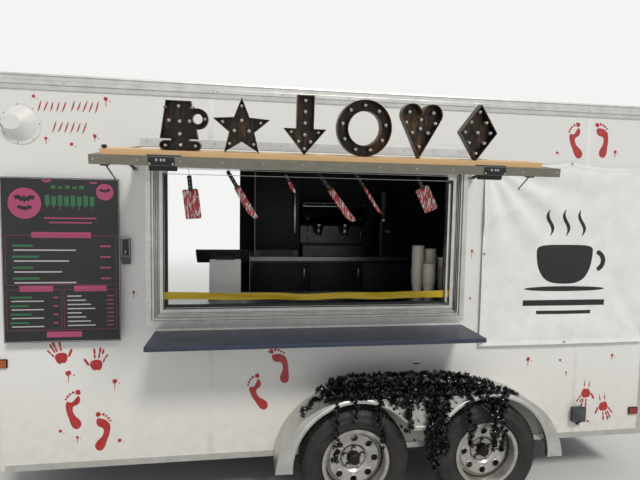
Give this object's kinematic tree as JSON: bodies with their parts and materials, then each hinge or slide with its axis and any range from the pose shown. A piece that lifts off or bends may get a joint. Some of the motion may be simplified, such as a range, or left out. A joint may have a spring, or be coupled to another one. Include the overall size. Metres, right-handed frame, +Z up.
{
  "type": "concession trailer",
  "caption": "Enclosed tandem-axle concession trailer with a raised serving hatch, fold-down shelf, open side door, rear barn doors, tongue jack and a fitted kitchen.",
  "frame": {"origin": "on the ground under the middle of the whole object's box", "axes": "+X to the rear of the trailer, +Y away from the serving side, +Z up"},
  "size_m": [5.477, 4.0224, 2.688],
  "materials": {
    "white_skin": "gloss",
    "aluminium_trim": "satin",
    "treadplate": "bright rolled",
    "black_steel": "satin",
    "zinc_steel": "satin",
    "silver_wheel": "satin",
    "tyre_rubber": "matte",
    "floor_ply": "matte",
    "pine": "matte",
    "sign_metal": "weathered",
    "navy_shelf": "satin",
    "banner_vinyl": "satin",
    "tinsel": "metallised film",
    "black_board": "satin",
    "lamp_lens": "gloss",
    "white_plastic": "satin",
    "grey_plastic": "satin",
    "stainless": "brushed",
    "black_plastic": "satin"
  },
  "bodies": {
    "trailer": {"chassis_frame": "black_steel", "coupler": "black_steel", "jack_tube": "black_steel", "floor_deck": "floor_ply", "wall_serving": "white_skin", "wall_entry": "white_skin", "wall_front": "white_skin", "corner_posts": "white_skin", "rear_frame": "white_skin", "roof": "white_skin", "top_rails": "aluminium_trim", "bottom_trims": "aluminium_trim", "stone_guard": "treadplate", "window_frame": "aluminium_trim", "hinge_rail": "aluminium_trim", "strut_brackets": "zinc_steel", "shelf_rail": "aluminium_trim", "fenders": "treadplate", "axles": "black_steel", "leaf_springs": "black_steel", "marker_lamps": "lamp_lens", "tail_lamps": "lamp_lens", "plate_bracket": "black_plastic", "vents": "white_plastic", "power_boxes": "grey_plastic", "menu_board": "black_board", "banner": "banner_vinyl", "garland": "tinsel", "entry_step": "treadplate", "counter_galley": "stainless", "counter_serving": "stainless", "refrigerator": "stainless", "espresso_machine": "stainless", "coffee_grinder": "black_plastic", "till": "black_plastic"},
    "hatch": {"hatch_edge": "aluminium_trim", "hatch_panel": "white_skin", "hatch_latches": "black_plastic", "sign_plank": "pine", "sign_lamps": "sign_metal"},
    "strut_tube_front": {"strut_tube_front": "black_steel"},
    "strut_tube_rear": {"strut_tube_rear": "black_steel"},
    "strut_rod_front": {"strut_rod_front": "zinc_steel"},
    "strut_rod_rear": {"strut_rod_rear": "zinc_steel"},
    "serving_shelf": {"serving_shelf": "navy_shelf"},
    "entry_door": {"entry_door": "white_skin"},
    "rear_door_left": {"rear_door_left": "white_skin"},
    "rear_door_right": {"rear_door_right": "white_skin"},
    "jack_leg": {"jack_leg": "zinc_steel"},
    "wheel_front_left": {"tyre_front_left": "tyre_rubber", "wheel_front_left": "silver_wheel"},
    "wheel_front_right": {"tyre_front_right": "tyre_rubber", "wheel_front_right": "silver_wheel"},
    "wheel_rear_left": {"tyre_rear_left": "tyre_rubber", "wheel_rear_left": "silver_wheel"},
    "wheel_rear_right": {"tyre_rear_right": "tyre_rubber", "wheel_rear_right": "silver_wheel"}
  },
  "joints": [
    {"name": "hatch_hinge", "type": "hinge", "parent": "trailer", "child": "hatch", "pos_m": [0.257, -1.089, 2.186], "axis": [1, 0, 0], "range_deg": [0, 81.3]},
    {"name": "strut_pivot_front", "type": "hinge", "parent": "trailer", "child": "strut_tube_front", "pos_m": [-0.7735, -1.097, 2.085], "axis": [1, 0, 0], "range_deg": [0, 97.1]},
    {"name": "strut_slide_front", "type": "slide", "parent": "strut_tube_front", "child": "strut_rod_front", "axis": [0, -0.992, 0.126], "range_m": [-0.0935, 0]},
    {"name": "strut_pivot_rear", "type": "hinge", "parent": "trailer", "child": "strut_tube_rear", "pos_m": [1.2875, -1.097, 2.085], "axis": [1, 0, 0], "range_deg": [0, 97.1]},
    {"name": "strut_slide_rear", "type": "slide", "parent": "strut_tube_rear", "child": "strut_rod_rear", "axis": [0, -0.992, 0.126], "range_m": [-0.0935, 0]},
    {"name": "shelf_hinge", "type": "hinge", "parent": "trailer", "child": "serving_shelf", "pos_m": [0.2925, -1.101, 1.106], "axis": [1, 0, 0], "range_deg": [0, 90]},
    {"name": "entry_door_hinge", "type": "hinge", "parent": "trailer", "child": "entry_door", "pos_m": [-1.1405, 1.081, 1.42], "axis": [0, 0, 1], "range_deg": [-97, 73]},
    {"name": "rear_door_hinge_left", "type": "hinge", "parent": "trailer", "child": "rear_door_left", "pos_m": [2.6925, -1.007, 1.43], "axis": [0, 0, -1], "range_deg": [0, 180]},
    {"name": "rear_door_hinge_right", "type": "hinge", "parent": "trailer", "child": "rear_door_right", "pos_m": [2.6925, 1.007, 1.43], "axis": [0, 0, 1], "range_deg": [0, 180]},
    {"name": "jack_slide", "type": "slide", "parent": "trailer", "child": "jack_leg", "axis": [0, 0, 1], "range_m": [0, 0.27]},
    {"name": "wheel_spin_front_left", "type": "hinge", "parent": "trailer", "child": "wheel_front_left", "pos_m": [0.5265, -1.183, 0.338], "axis": [0, 1, 0], "continuous": true},
    {"name": "wheel_spin_front_right", "type": "hinge", "parent": "trailer", "child": "wheel_front_right", "pos_m": [0.5265, 1.183, 0.338], "axis": [0, 1, 0], "continuous": true},
    {"name": "wheel_spin_rear_left", "type": "hinge", "parent": "trailer", "child": "wheel_rear_left", "pos_m": [1.3765, -1.183, 0.338], "axis": [0, 1, 0], "continuous": true},
    {"name": "wheel_spin_rear_right", "type": "hinge", "parent": "trailer", "child": "wheel_rear_right", "pos_m": [1.3765, 1.183, 0.338], "axis": [0, 1, 0], "continuous": true}
  ],
  "couplings": [
    {"joint": "strut_pivot_front", "follows": "hatch_hinge", "ratio": 1.1937},
    {"joint": "strut_slide_front", "follows": "hatch_hinge", "m_per_rad": -0.06547},
    {"joint": "strut_pivot_rear", "follows": "hatch_hinge", "ratio": 1.1937},
    {"joint": "strut_slide_rear", "follows": "hatch_hinge", "m_per_rad": -0.06547}
  ]
}
